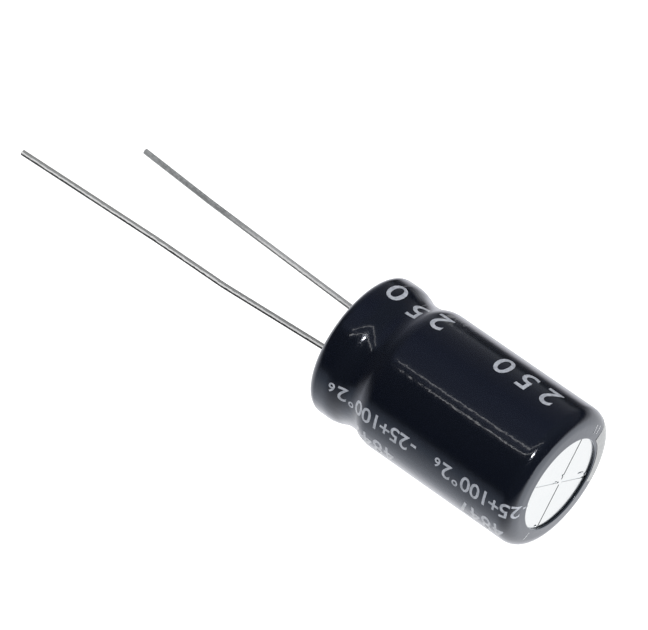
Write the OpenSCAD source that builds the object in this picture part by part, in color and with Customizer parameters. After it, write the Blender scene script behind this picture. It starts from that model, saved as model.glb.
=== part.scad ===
// Radial aluminium electrolytic capacitor of the 12.5 mm series.
// A drawn case with a rolled groove, a curled rim and a scored vent is closed by a rubber seal.
// Inside it two foils and two papers are wound round each other, and a tab on each foil
// passes through the seal to a tinned wire. A shrunk sleeve covers the case.
// Z points from the board to the vent, and Z = 0 is the ring on which the part sits.
// The positive lead is on +X, the negative lead on -X.

/* [Case] */
// Outside diameter of the drawn case
case_d = 12.5; // [11:0.5:16]
// Length of the case from its curled rim to its vent end
case_len = 21.1; // [16:0.05:32]
// Thickness of the case wall
case_wall = 0.35; // [0.25:0.05:0.45]
// Outside radius of the corner at the vent end
vent_corner_r = 1.15; // [0.6:0.05:1.6]
// Outside radius of the corner at the rim
rim_corner_r = 0.6; // [0.55:0.05:1]
// Width of the flat of the rim between its corner and its curl
rim_flat_w = 0.2; // [0.1:0.05:0.6]
// Outside radius of the curl at the edge of the rim
curl_r = 0.55; // [0.5:0.05:0.7]

/* [Groove] */
// Height of the middle of the rolled groove above the seating ring
groove_z = 3.95; // [3.6:0.05:4.2]
// Depth of the groove in the case
groove_depth = 0.85; // [0.6:0.05:1]
// Radius of the root of the groove, which the rolling wheel leaves
groove_root_r = 1; // [0.7:0.05:1.2]
// Radius of the two brows beside the groove
groove_brow_r = 2.5; // [1.5:0.1:2.5]

/* [Vent] */
// Width of the scored lines at the surface
score_w = 0.16; // [0.1:0.02:0.3]
// Depth of the scored lines
score_depth = 0.12; // [0.06:0.02:0.2]
// Width of the middle that the lines leave unscored
score_middle = 0.5; // [0.2:0.1:1.5]
// Angle of the first scored line from +X
score_turn = 60; // [0:5:85]
// Length of the scored lines under the lip of the sleeve
score_under = 0.4; // [0.1:0.1:0.6]

/* [Sleeve] */
// Thickness of the shrunk sleeve
sleeve_wall = 0.18; // [0.1:0.02:0.3]
// Width of the flat lip of the sleeve on the vent
vent_lip_w = 0.8; // [0.4:0.1:2]
// Width of the flat ring of the sleeve on which the part sits
seat_ring_w = 0.55; // [0.3:0.05:0.8]
// Height at which the sleeve bridges the root of the groove
sleeve_slack = 0.34; // [0.1:0.02:0.4]

/* [Seal] */
// Height of the outer face of the seal above the seating ring
seal_face_z = 0.3; // [0.25:0.05:0.5]
// Height of the inner face of the seal above the seating ring
seal_top_z = 5.1; // [4.8:0.1:5.6]

/* [Leads] */
// Distance between the two leads at the seal
lead_pitch = 5; // [4.4:0.2:5.6]
// Diameter of the tinned wires
lead_d = 0.5; // [0.4:0.05:0.8]
// Length of the positive wire below the seating ring
positive_len = 33.9; // [22:0.1:40]
// Length of the negative wire below the seating ring
negative_len = 26.8; // [22:0.1:36]
// Height of the weld between wire and tab above the seating ring
weld_z = 1; // [0.8:0.1:2]
// Radius of the slight bends that the wires have taken
lead_bend_r = 20; // [10:1:30]
// Straight length of the positive wire from the seating ring to its first bend
positive_run_1 = 0.5; // [0.5:0.5:3]
// Straight length of the positive wire from its first bend to its second
positive_run_2 = 9.5; // [4:0.5:11]
// Straight length of the positive wire from its second bend to its third
positive_run_3 = 6.5; // [2:0.5:8]
// Straight length of the negative wire from the seating ring to its first bend
negative_run_1 = 2; // [0.5:0.5:4]
// Straight length of the negative wire from its first bend to its second
negative_run_2 = 16; // [8:0.5:18]
// How much the wire's radius grows where it is bent
bend_swell = 0.01; // [0.01:0.005:0.03]

/* [Tabs] */
// Diameter of the round stem of a tab
stem_d = 1.2; // [1:0.05:1.4]
// Width of the flattened blade of a tab
blade_w = 2; // [1.4:0.1:2.4]
// Thickness of the blade
blade_t = 0.24; // [0.15:0.01:0.3]
// Distance from the end of the blade to the upper edge of its foil
blade_stop = 2.2; // [0.5:0.1:5]
// Height over which the stem flattens into the blade
flare_h = 0.8; // [0.6:0.1:1.2]

/* [Winding] */
// Thickness of the etched anode foil
anode_t = 0.11; // [0.08:0.01:0.14]
// Thickness of the cathode foil
cathode_t = 0.07; // [0.04:0.01:0.1]
// Thickness of each separator paper
paper_t = 0.07; // [0.04:0.01:0.1]
// How far the papers reach past the foils at each end
paper_margin = 0.7; // [0.4:0.1:1.5]
// Room between the winding and the vent
head_room = 0.9; // [0.5:0.1:2]
// Smallest radius of the hole that the winding pin leaves
pin_r = 0.85; // [0.5:0.05:1.2]
// Thickness of the tape that closes the winding
tape_t = 0.06; // [0.04:0.01:0.1]
// Distance from each end of the papers to the tape
tape_margin = 2.9; // [1:0.1:4]

/* [Clearances] */
// Clearance between the sleeve and the case
sleeve_gap = 0.02; // [0.01:0.01:0.05]
// Clearance round the seal and in its holes
seal_gap = 0.02; // [0.01:0.01:0.05]
// Clearance between neighbouring layers of the winding
layer_gap = 0.02; // [0.02:0.005:0.04]
// Smallest clearance between the winding and the case
winding_gap = 0.1; // [0.05:0.05:0.3]
// Clearance above and below the flares of the tabs
flare_gap = 0.1; // [0.05:0.05:0.3]

/* [Hidden] */
$fn = 96;
wire_fn = 32;
eps = 0.01;

case_r = case_d / 2;
case_z0 = sleeve_wall + sleeve_gap;
case_z1 = case_z0 + case_len;
case_inner_r = case_r - case_wall;
curl_mid_r = case_r - rim_corner_r - rim_flat_w;
curl_mid_z = case_z0 + curl_r;
rim_opening_r = curl_mid_r - curl_r;
vent_opening_r = case_r - vent_corner_r - vent_lip_w;
seat_opening_r = case_r - rim_corner_r - seat_ring_w;

// Half the width of the groove's mouth follows from its depth and its two radii.
groove_half_w = sqrt(pow(groove_root_r + groove_brow_r, 2)
    - pow(groove_root_r + groove_brow_r - groove_depth, 2));
// The sleeve leaves the case at the same brows and is not drawn down to the root.
sleeve_dip = groove_depth - sleeve_slack;
sleeve_root_r = (pow(groove_half_w, 2) + pow(sleeve_dip, 2)) / (2 * sleeve_dip) - groove_brow_r;

stem_hole_r = stem_d / 2 + seal_gap;
flare_z0 = seal_top_z + flare_gap;
flare_z1 = flare_z0 + flare_h;
winding_z0 = flare_z1 + flare_gap;
// The stem and the blade reach this far into the flare between them.
flare_lap = flare_h / 16;
paper_w = case_z1 - case_wall - head_room - winding_z0;
foil_z0 = winding_z0 + paper_margin;
foil_w = paper_w - 2 * paper_margin;
blade_len = foil_z0 + foil_w - blade_stop - flare_z1;
tape_z0 = winding_z0 + tape_margin;
tape_w = paper_w - 2 * tape_margin;

// The layers from the middle outwards are paper, anode, paper and cathode.
anode_in = paper_t + layer_gap;
outer_paper_in = anode_in + anode_t + layer_gap;
cathode_in = outer_paper_in + paper_t + layer_gap;
layer_pitch = cathode_in + cathode_t + layer_gap;
blade_room = blade_t + layer_gap;

// Each blade lies on its own foil, at the turn that brings it nearest to the lead pitch.
blade_in_r = lead_pitch / 2 - blade_t / 2;
tab_turn = floor((blade_in_r - layer_gap - anode_in - anode_t - pin_r) / layer_pitch);
core_r = blade_in_r - layer_gap - anode_in - anode_t - layer_pitch * tab_turn;
positive_blade_a = 360 * tab_turn;
negative_blade_a = positive_blade_a - 180;
// Angle past a blade's edge at which the layers over it start to come down, and the way down
blade_rest_a = 4;
blade_ramp_a = 40;
// The winding has as many turns as the case takes, and its tape goes once round it.
turns_that_fit = floor((case_inner_r - winding_gap - tape_t - blade_room - core_r) / layer_pitch);
winding_turns = turns_that_fit - 1;
turn_facets = 32;

// Turns at which the layers start and end
anode_turns = [0.5, winding_turns - 1.25];
cathode_turns = [0.25, winding_turns - 0.5];
paper_turns = [0, winding_turns];
tape_turns = [winding_turns, turns_that_fit - 1 / turn_facets];

// Straight run before each turn of a wire and the angle of that turn, outwards positive
positive_bends = [[weld_z + positive_run_1, 3.9], [positive_run_2, -3.2], [positive_run_3, 1.5]];
negative_bends = [[weld_z + negative_run_1, 2.5], [negative_run_2, 1.3]];

// Angle of a place in the winding from a blade, between -180 and 180
function angle_from(a, blade_a) = (a - blade_a + 180) - 360 * floor((a - blade_a + 180) / 360) - 180;

function spiral_r(a, layer_in) = core_r + layer_pitch * a / 360 + layer_in;

// How far a blade lifts a layer that passes outside it
function blade_lift(a, layer_in, blade_a, foil_out) =
    let(
        x = angle_from(a, blade_a),
        blade_r = spiral_r(blade_a, foil_out + layer_gap),
        flat_a = asin(blade_w / 2 / blade_r) + blade_rest_a,
        outside = spiral_r(a - x, layer_in) > blade_r - layer_gap / 2,
        fade = max(0, min(1, (abs(x) - flat_a) / blade_ramp_a))
    )
    outside ? blade_room * (1 + cos(180 * fade)) / 2 : 0;

function layer_r(a, layer_in) = spiral_r(a, layer_in)
    + blade_lift(a, layer_in, positive_blade_a, anode_in + anode_t)
    + blade_lift(a, layer_in, negative_blade_a, cathode_in + cathode_t);

function polar(r, a) = [r * cos(a), r * sin(a)];

// Half section of the case's outer surface moved inwards by inset, with a groove of the given size
module body_section(inset, dip, root_r) {
    r = case_r - inset;
    bottom = case_z0 + inset;
    top = case_z1 - inset;
    rim_r = rim_corner_r - inset;
    vent_r = vent_corner_r - inset;
    difference() {
        union() {
            translate([0, bottom + rim_r]) square([r, top - vent_r - bottom - rim_r]);
            translate([0, bottom]) square([r - rim_r, rim_r + eps]);
            translate([0, top - vent_r - eps]) square([r - vent_r, vent_r + eps]);
            translate([r - rim_r, bottom + rim_r]) circle(rim_r);
            translate([r - vent_r, top - vent_r]) circle(vent_r);
        }
        groove_section(inset, dip, root_r);
    }
}

// Section of the air in the groove: a root arc that meets two brow arcs without a corner
module groove_section(inset, dip, root_r) {
    brow = [case_r - groove_brow_r, groove_half_w];
    root = [case_r - dip + root_r, groove_z];
    far = case_r + groove_root_r;
    difference() {
        polygon([
            [brow[0], groove_z - brow[1]], [far, groove_z - brow[1]],
            [far, groove_z + brow[1]], [brow[0], groove_z + brow[1]], root
        ]);
        for (side = [-1, 1])
            translate([brow[0], groove_z + side * brow[1]]) circle(groove_brow_r - inset);
    }
    translate(root) circle(root_r + inset);
}

// Quarter ring of the curled edge, grown by extra on both sides
module curl_section(extra) {
    intersection() {
        translate([curl_mid_r, curl_mid_z]) difference() {
            circle(curl_r + extra);
            circle(curl_r - case_wall - extra);
        }
        translate([curl_mid_r - 2 * curl_r, curl_mid_z - 2 * curl_r])
            square([2 * curl_r, 2 * curl_r + extra]);
    }
}

// One scored line, a V cut that runs outwards from the middle of the vent
module score_line(turn) {
    reach = vent_opening_r + score_under;
    rotate([0, 0, turn]) translate([score_middle / 2, 0, case_z1]) rotate([90, 0, 90])
        linear_extrude(reach - score_middle / 2)
            polygon([[-score_w / 2, eps], [0, -score_depth], [score_w / 2, eps]]);
}

module sleeve() {
    color([0.06, 0.07, 0.11]) rotate_extrude() difference() {
        body_section(-sleeve_gap - sleeve_wall, sleeve_dip, sleeve_root_r);
        body_section(-sleeve_gap, sleeve_dip, sleeve_root_r);
        translate([0, case_len / 2]) square([vent_opening_r, case_len]);
        translate([0, -eps]) square([seat_opening_r, case_len / 2]);
    }
}

module case() {
    color([0.86, 0.87, 0.88]) difference() {
        rotate_extrude() {
            difference() {
                body_section(0, groove_depth, groove_root_r);
                body_section(case_wall, groove_depth, groove_root_r);
                square([curl_mid_r, curl_mid_z]);
            }
            curl_section(0);
        }
        for (arm = [0:3]) score_line(score_turn + 90 * arm);
    }
}

module seal() {
    inset = case_wall + seal_gap;
    color([0.1, 0.1, 0.1]) difference() {
        rotate_extrude() difference() {
            union() {
                intersection() {
                    body_section(inset, groove_depth, groove_root_r);
                    square([case_r, seal_top_z]);
                }
                translate([0, seal_face_z])
                    square([rim_opening_r - seal_gap, curl_mid_z - seal_face_z]);
            }
            curl_section(seal_gap);
        }
        for (side = [-1, 1])
            translate([side * lead_pitch / 2, 0, 0]) cylinder(h = 2 * seal_top_z, r = stem_hole_r);
    }
}

// A wire that runs down from the origin, with a slight bend after each straight run.
// Each straight run reaches a little way into the bends, which are thicker than it.
module wire_run(bends, total, lap_above = 0) {
    if (len(bends) == 0) {
        translate([0, 0, -total]) cylinder(h = total + lap_above, d = lead_d, $fn = wire_fn);
    } else {
        run = bends[0][0];
        turn = bends[0][1];
        side = sign(turn);
        rest = [for (i = [1:1:len(bends) - 1]) bends[i]];
        bend_len = lead_bend_r * abs(turn) * PI / 180;
        lap = bend_len / 4;
        translate([0, 0, -run - lap]) cylinder(h = run + lap + lap_above, d = lead_d, $fn = wire_fn);
        translate([side * lead_bend_r, 0, -run]) {
            mirror([side > 0 ? 0 : 1, 0, 0]) rotate([-90, 0, 180])
                rotate_extrude(angle = abs(turn))
                    translate([lead_bend_r, 0]) circle(d = lead_d + 2 * bend_swell, $fn = wire_fn);
            rotate([0, -turn, 0]) translate([-side * lead_bend_r, 0, 0])
                wire_run(rest, total - run - bend_len, lap);
        }
    }
}

// A wire on the +X side, from its weld down to its cut end
module wire(bends, length) {
    color([0.72, 0.73, 0.75]) translate([lead_pitch / 2, 0, weld_z])
        wire_run(bends, length + weld_z);
}

module positive_wire() {
    wire(positive_bends, positive_len);
}

module negative_wire() {
    mirror([1, 0, 0]) wire(negative_bends, negative_len);
}

// A layer of the winding, from one turn to another
module layer(layer_in, thickness, turns, z0, width) {
    first = round(turns[0] * turn_facets);
    last = round(turns[1] * turn_facets);
    step = 360 / turn_facets;
    inside = [for (i = [first:last]) polar(layer_r(i * step, layer_in), i * step)];
    outside = [for (i = [last:-1:first]) polar(layer_r(i * step, layer_in) + thickness, i * step)];
    translate([0, 0, z0]) linear_extrude(width) polygon(concat(inside, outside));
}

// A tab: a round stem in the seal, a flare, and a blade that follows its foil
module tab(blade_a, foil_out) {
    stem_r = stem_d / 2;
    blade_r = spiral_r(blade_a, foil_out + layer_gap);
    half_a = asin(blade_w / 2 / blade_r);
    steps = 6;
    angles = [for (i = [0:steps]) blade_a + half_a * (2 * i / steps - 1)];
    foot = stem_r + 2 * flare_lap;
    r_in = [for (a = angles) spiral_r(a, foil_out + layer_gap)];
    inside = [for (i = [0:steps]) polar(r_in[i], angles[i])];
    outside = [for (i = [steps:-1:0]) polar(r_in[i] + blade_t, angles[i])];
    color([0.8, 0.81, 0.82]) {
        rotate([0, 0, blade_a]) {
            translate([lead_pitch / 2, 0, weld_z]) cylinder(h = flare_z0 + flare_lap - weld_z, r = stem_r);
            intersection() {
                translate([lead_pitch / 2, 0, flare_z0])
                    cylinder(h = flare_h, r1 = stem_r, r2 = blade_w / 2 + flare_lap);
                rotate_extrude() polygon([
                    [lead_pitch / 2 - foot, flare_z0 - flare_lap],
                    [lead_pitch / 2 + foot, flare_z0 - flare_lap],
                    [blade_r + blade_t + flare_lap, flare_z1 + flare_lap],
                    [blade_r - flare_lap, flare_z1 + flare_lap]
                ]);
            }
        }
        translate([0, 0, flare_z1 - flare_lap])
            linear_extrude(blade_len + flare_lap) polygon(concat(inside, outside));
    }
}

module positive_tab() {
    tab(positive_blade_a, anode_in + anode_t);
}

module negative_tab() {
    tab(negative_blade_a, cathode_in + cathode_t);
}

module anode_foil() {
    color([0.6, 0.61, 0.62]) layer(anode_in, anode_t, anode_turns, foil_z0, foil_w);
}

module cathode_foil() {
    color([0.78, 0.79, 0.8]) layer(cathode_in, cathode_t, cathode_turns, foil_z0, foil_w);
}

module inner_paper() {
    color([0.88, 0.82, 0.68]) layer(0, paper_t, paper_turns, winding_z0, paper_w);
}

module outer_paper() {
    color([0.9, 0.85, 0.72]) layer(outer_paper_in, paper_t, paper_turns, winding_z0, paper_w);
}

module element_tape() {
    color([0.85, 0.8, 0.55]) layer(0, tape_t, tape_turns, tape_z0, tape_w);
}

sleeve();
case();
seal();
positive_wire();
negative_wire();
positive_tab();
negative_tab();
anode_foil();
cathode_foil();
inner_paper();
outer_paper();
element_tape();
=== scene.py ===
"""The looks of a radial aluminium electrolytic capacitor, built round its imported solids.

A glossy dark sleeve with light print covers a drawn aluminium case. The vent of the case shows
through the sleeve's opening, and two tinned wires leave the other end.
"""

import logging
import math
from dataclasses import dataclass, field
from enum import Enum
from typing import Any, Sequence

import bmesh
import bpy
from mathutils import Matrix, Vector


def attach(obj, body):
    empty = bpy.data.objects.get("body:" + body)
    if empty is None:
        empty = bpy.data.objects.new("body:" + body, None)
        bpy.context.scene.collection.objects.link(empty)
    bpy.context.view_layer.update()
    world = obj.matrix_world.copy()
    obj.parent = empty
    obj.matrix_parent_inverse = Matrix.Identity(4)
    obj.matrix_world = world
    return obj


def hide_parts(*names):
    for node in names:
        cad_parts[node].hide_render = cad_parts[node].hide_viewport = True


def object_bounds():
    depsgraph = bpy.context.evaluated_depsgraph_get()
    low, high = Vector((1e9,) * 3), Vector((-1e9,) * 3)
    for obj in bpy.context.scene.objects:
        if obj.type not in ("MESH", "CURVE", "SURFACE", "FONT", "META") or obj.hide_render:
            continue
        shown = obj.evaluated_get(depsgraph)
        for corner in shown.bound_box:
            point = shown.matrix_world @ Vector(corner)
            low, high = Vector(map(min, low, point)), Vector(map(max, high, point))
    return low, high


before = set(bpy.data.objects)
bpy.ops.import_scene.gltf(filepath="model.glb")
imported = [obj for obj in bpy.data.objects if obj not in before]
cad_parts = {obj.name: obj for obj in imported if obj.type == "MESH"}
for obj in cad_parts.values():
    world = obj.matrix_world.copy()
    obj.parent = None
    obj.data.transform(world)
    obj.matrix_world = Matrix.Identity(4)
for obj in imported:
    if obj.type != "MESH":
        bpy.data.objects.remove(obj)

LOG = logging.getLogger("capacitor")
MM = 0.001
MERGE_MM = 0.0001
BODY = "root"
CAD_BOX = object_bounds()

# A Mix node's colour sockets share their names with its number sockets, so they go by place.
MIX_A = 6
MIX_B = 7
MIX_RESULT = 2

Point = tuple[float, float]
Colour = tuple[float, float, float, float]
Link = tuple[bpy.types.Node, str | int]

WHITE: Colour = (1.0, 1.0, 1.0, 1.0)


def linear(hex_colour: str) -> Colour:
    """Turns an sRGB hex colour to the linear values that a shader takes.

    Args:
        hex_colour: Six hex digits, with or without a leading hash.

    Returns:
        Linear red, green and blue, and an alpha of 1.
    """
    digits = hex_colour.lstrip("#")
    values = [int(digits[i:i + 2], 16) / 255 for i in (0, 2, 4)]
    red, green, blue = (v / 12.92 if v <= 0.04045 else ((v + 0.055) / 1.055) ** 2.4 for v in values)
    return red, green, blue, 1.0


def add_node(
    tree: bpy.types.NodeTree,
    kind: str,
    settings: dict[str, Any] | None = None,
    inputs: dict[Any, Any] | None = None,
    links: dict[Any, Link] | None = None,
) -> bpy.types.Node:
    """Adds one node to a tree, sets it up and links it.

    Args:
        tree: The node tree.
        kind: The node's type name.
        settings: Attributes of the node.
        inputs: Socket values by name or place.
        links: For each input socket, the node and output socket that feed it.

    Returns:
        The new node.
    """
    node = tree.nodes.new(kind)
    for name, value in (settings or {}).items():
        setattr(node, name, value)
    for name, value in (inputs or {}).items():
        node.inputs[name].default_value = value
    for name, (source, output) in (links or {}).items():
        tree.links.new(source.outputs[output], node.inputs[name])
    return node


def new_material(name: str) -> tuple[bpy.types.Material, bpy.types.NodeTree]:
    """Makes a material with an empty tree.

    Args:
        name: The material's name.

    Returns:
        The material and its tree.
    """
    material = bpy.data.materials.new(name)
    material.use_nodes = True
    material.node_tree.nodes.clear()
    return material, material.node_tree


def add_shader(tree: bpy.types.NodeTree, inputs: dict[str, Any], links: dict[str, Link]) -> None:
    """Ends a material's tree with a Principled shader and the output.

    Args:
        tree: The material's tree.
        inputs: Values of the shader's sockets.
        links: For each socket that a pattern feeds, the node and output socket.
    """
    shader = add_node(tree, "ShaderNodeBsdfPrincipled", inputs=inputs, links=links)
    add_node(tree, "ShaderNodeOutputMaterial", links={"Surface": (shader, "BSDF")})


def add_speckle(
    tree: bpy.types.NodeTree,
    vector: Link,
    colours: tuple[str, str],
    size_mm: float,
    height_mm: float,
    detail: float,
    rough: float = 0.6,
    strength: float = 1.0,
    span: Point = (0.0, 1.0),
) -> tuple[bpy.types.Node, bpy.types.Node, bpy.types.Node]:
    """Adds a noise of a real size that mixes two colours and lifts the surface.

    Args:
        tree: The material's tree.
        vector: The coordinates that the noise reads.
        colours: Hex colours of its low and its high places.
        size_mm: Size of its largest marks.
        height_mm: How far its high places stand out.
        detail: How many finer layers it has.
        rough: How strong those layers are.
        strength: How much the relief bends the light.
        span: The values of the noise between which the colour changes.

    Returns:
        The noise, the mixed colour and the relief.
    """
    noise = add_node(
        tree, "ShaderNodeTexNoise",
        inputs={"Scale": 1 / (size_mm * MM), "Detail": detail, "Roughness": rough},
        links={"Vector": vector},
    )
    share = add_node(
        tree, "ShaderNodeMapRange", inputs={"From Min": span[0], "From Max": span[1]},
        links={"Value": (noise, "Fac")},
    )
    tint = add_node(
        tree, "ShaderNodeMix", settings={"data_type": "RGBA"},
        inputs={MIX_A: linear(colours[0]), MIX_B: linear(colours[1])},
        links={"Factor": (share, "Result")},
    )
    relief = add_node(
        tree, "ShaderNodeBump", inputs={"Strength": strength, "Distance": height_mm * MM},
        links={"Height": (noise, "Fac")},
    )
    return noise, tint, relief


def set_stops(ramp: bpy.types.Node, stops: Sequence[tuple[float, Colour]]) -> None:
    """Gives a new colour ramp its stops.

    Args:
        ramp: The ramp node.
        stops: Each stop's place and colour, from the first at 0 to the last at 1.
    """
    elements = ramp.color_ramp.elements
    elements[0].color = stops[0][1]
    elements[1].color = stops[-1][1]
    for place, colour in stops[1:-1]:
        elements.new(place).color = colour


@dataclass(frozen=True)
class ShrinkFilm:
    """Heat-shrunk PVC film over a metal can.

    It shrank on hot, so it has a wet gloss with a faint orange peel, and its deep blue black
    only shows where nothing bright is mirrored. Where it was cut, it is a duller dark grey: there the
    first number of its own UV map is 1.
    """

    name: str = "shrunk_pvc_film"
    colour: str = "#0f131c"
    cloud_colour: str = "#12161f"
    cut_colour: str = "#4a4f53"
    roughness: float = 0.16
    ior: float = 1.55
    skin_roughness: float = 0.03
    skin_tint: str = "#e9eefb"
    peel_mm: float = 0.6
    peel_height_mm: float = 0.009
    ripple_mm: float = 5.0
    ripple_height_mm: float = 0.012

    def make(self) -> bpy.types.Material:
        """Builds the material.

        Returns:
            The material.
        """
        material, tree = new_material(self.name)
        place = add_node(tree, "ShaderNodeTexCoord")
        _, tint, ripple = add_speckle(
            tree, (place, "Object"), (self.colour, self.cloud_colour),
            self.ripple_mm, self.ripple_height_mm, detail=3.0,
        )
        cut = add_node(tree, "ShaderNodeSeparateXYZ", links={"Vector": (place, "UV")})
        edged = add_node(
            tree, "ShaderNodeMix", settings={"data_type": "RGBA"},
            inputs={MIX_B: linear(self.cut_colour)},
            links={"Factor": (cut, "X"), MIX_A: (tint, MIX_RESULT)},
        )
        peel = add_node(
            tree, "ShaderNodeTexNoise",
            inputs={"Scale": 1 / (self.peel_mm * MM), "Detail": 2.0, "Roughness": 0.6},
            links={"Vector": (place, "Object")},
        )
        relief = add_node(
            tree, "ShaderNodeBump", inputs={"Strength": 1.0, "Distance": self.peel_height_mm * MM},
            links={"Height": (peel, "Fac"), "Normal": (ripple, "Normal")},
        )
        add_shader(
            tree,
            {
                "Roughness": self.roughness, "IOR": self.ior, "Coat Weight": 1.0,
                "Coat Roughness": self.skin_roughness, "Coat IOR": self.ior,
                "Coat Tint": linear(self.skin_tint),
            },
            {
                "Base Color": (edged, MIX_RESULT), "Normal": (relief, "Normal"),
                "Coat Normal": (relief, "Normal"),
            },
        )
        return material


@dataclass(frozen=True)
class PrintInk:
    """Solvent ink that a roller put on the film before it was shrunk.

    It is flat and light, a little mottled because the film shows through its thin places. It
    shrank with the film and took on its gloss.
    """

    name: str
    colour: str
    thin_colour: str
    roughness: float = 0.42
    skin_roughness: float = 0.03
    skin_ior: float = 1.55
    mottle_mm: float = 0.35
    thin_span: Point = (0.32, 0.62)

    def make(self) -> bpy.types.Material:
        """Builds the material.

        Returns:
            The material.
        """
        material, tree = new_material(self.name)
        place = add_node(tree, "ShaderNodeTexCoord")
        _, tint, _ = add_speckle(
            tree, (place, "Object"), (self.thin_colour, self.colour),
            self.mottle_mm, 0.0, detail=3.0, rough=0.65, span=self.thin_span,
        )
        add_shader(
            tree,
            {
                "Roughness": self.roughness, "Coat Weight": 1.0,
                "Coat Roughness": self.skin_roughness, "Coat IOR": self.skin_ior,
            },
            {"Base Color": (tint, MIX_RESULT)},
        )
        return material


class Grain(Enum):
    """Which way the fine marks of a metal surface run."""

    NONE = (1.0, 1.0, 1.0)
    ALONG_Z = (1.0, 1.0, 0.06)
    ROUND_Z = (0.25, 0.25, 1.0)


@dataclass(frozen=True)
class Metal:
    """Bare aluminium with the marks of the drawing, pressing, rolling or etching that made it.

    The marks give it slightly duller and rougher places, which soften what it mirrors.
    """

    name: str
    colour: str
    dull_colour: str
    roughness: float
    mark_mm: float
    mark_height_mm: float
    grain: Grain = Grain.NONE
    roughness_swing: float = 0.08

    def make(self) -> bpy.types.Material:
        """Builds the material.

        Returns:
            The material.
        """
        material, tree = new_material(self.name)
        place = add_node(tree, "ShaderNodeTexCoord")
        stretched = add_node(
            tree, "ShaderNodeMapping", inputs={"Scale": self.grain.value},
            links={"Vector": (place, "Object")},
        )
        marks, tint, relief = add_speckle(
            tree, (stretched, "Vector"), (self.dull_colour, self.colour),
            self.mark_mm, self.mark_height_mm, detail=4.0,
        )
        polish = add_node(
            tree, "ShaderNodeMapRange",
            inputs={
                "From Min": 0.3, "From Max": 0.7,
                "To Min": self.roughness + self.roughness_swing, "To Max": self.roughness,
            },
            links={"Value": (marks, "Fac")},
        )
        add_shader(tree, {"Metallic": 1.0}, {
            "Base Color": (tint, MIX_RESULT), "Roughness": (polish, "Result"),
            "Normal": (relief, "Normal"),
        })
        return material


@dataclass(frozen=True)
class TinnedWire:
    """Steel wire, copper clad and hot tinned, then drawn through a die.

    The tin is dull and pale. Lanes along the wire carry painted highlights and painted shade:
    white lanes stand for mirrored light and near-black lanes for mirrored dark surroundings,
    between the tin's own greys. The wire's own UV map carries the lanes round it, and its height
    in millimetres. Below a given height on one wire the lanes fade out to a plain mottled grey.
    """

    name: str = "tinned_wire"
    # Lane colours by degrees round the wire. The white lanes are painted highlights and the near-black
    # lanes painted shade; the greys between are the tin's own.
    painted_light_lanes: tuple[tuple[float, str], ...] = (
        (0, "#1c1c1c"), (14, "#202020"), (30, "#6a6a6b"), (45, "#a2a3a4"), (120, "#909192"),
        (150, "#e4e4e4"), (165, "#6a6b6b"), (190, "#8a8b8c"), (219, "#7c7d7d"), (250, "#949595"),
        (285, "#a6a7a7"), (299, "#9c9d9d"), (305, "#ffffff"), (330, "#ffffff"), (338, "#505050"),
        (345, "#1c1c1c"),
    )
    metallic: float = 0.12
    roughness: float = 0.36
    mark_mm: float = 0.36
    waver: float = 0.02
    mark_height_mm: float = 0.006
    plain_tin: str = "#adafb0"
    plain_tin_dark: str = "#949697"
    lanes_end_mm: float = -90.0
    lanes_fade_mm: float = 6.0
    plain_span: Point = (0.42, 0.58)

    def make(self) -> bpy.types.Material:
        """Builds the material.

        Returns:
            The material.
        """
        material, tree = new_material(self.name)
        place = add_node(tree, "ShaderNodeTexCoord")
        marks, grey, relief = add_speckle(
            tree, (place, "Object"), (self.plain_tin_dark, self.plain_tin),
            self.mark_mm, self.mark_height_mm, detail=3.0, span=self.plain_span,
        )
        around = add_node(tree, "ShaderNodeSeparateXYZ", links={"Vector": (place, "UV")})
        shift = add_node(
            tree, "ShaderNodeMapRange",
            inputs={"From Min": 0.3, "From Max": 0.7, "To Min": -self.waver, "To Max": self.waver},
            links={"Value": (marks, "Fac")},
        )
        lane = add_node(
            tree, "ShaderNodeMath", settings={"operation": "ADD"},
            links={0: (around, "X"), 1: (shift, "Result")},
        )
        wrapped = add_node(
            tree, "ShaderNodeMath", settings={"operation": "FRACT"}, links={0: (lane, "Value")}
        )
        # The lanes, with their painted highlights and painted shade.
        painted_lanes = add_node(tree, "ShaderNodeValToRGB", links={"Fac": (wrapped, "Value")})
        stops = [(degrees / 360, linear(colour)) for degrees, colour in self.painted_light_lanes]
        set_stops(painted_lanes, [*stops, (1.0, stops[0][1])])
        plain_share = add_node(
            tree, "ShaderNodeMapRange",
            inputs={"From Min": self.lanes_end_mm, "From Max": self.lanes_end_mm - self.lanes_fade_mm},
            links={"Value": (around, "Y")},
        )
        tint = add_node(
            tree, "ShaderNodeMix", settings={"data_type": "RGBA"},
            links={"Factor": (plain_share, "Result"), MIX_A: (painted_lanes, "Color"), MIX_B: (grey, MIX_RESULT)},
        )
        add_shader(
            tree, {"Metallic": self.metallic, "Roughness": self.roughness},
            {"Base Color": (tint, MIX_RESULT), "Normal": (relief, "Normal")},
        )
        return material


@dataclass(frozen=True)
class Fibrous:
    """A soft dull sheet or moulded body: paper, film tape or rubber, with its fine mottle."""

    name: str
    colour: str
    fleck_colour: str
    roughness: float
    fleck_mm: float
    fleck_height_mm: float
    strength: float = 0.8

    def make(self) -> bpy.types.Material:
        """Builds the material.

        Returns:
            The material.
        """
        material, tree = new_material(self.name)
        place = add_node(tree, "ShaderNodeTexCoord")
        _, tint, relief = add_speckle(
            tree, (place, "Object"), (self.colour, self.fleck_colour),
            self.fleck_mm, self.fleck_height_mm, detail=5.0, rough=0.7, strength=self.strength,
        )
        add_shader(
            tree, {"Roughness": self.roughness},
            {"Base Color": (tint, MIX_RESULT), "Normal": (relief, "Normal")},
        )
        return material


def add_mesh(name: str, data: bpy.types.ID) -> bpy.types.Object:
    """Puts a mesh or a text in the scene as an object of that name, at the origin, and returns it."""
    piece = bpy.data.objects.new(name, data)
    bpy.context.scene.collection.objects.link(piece)
    return piece


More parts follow.
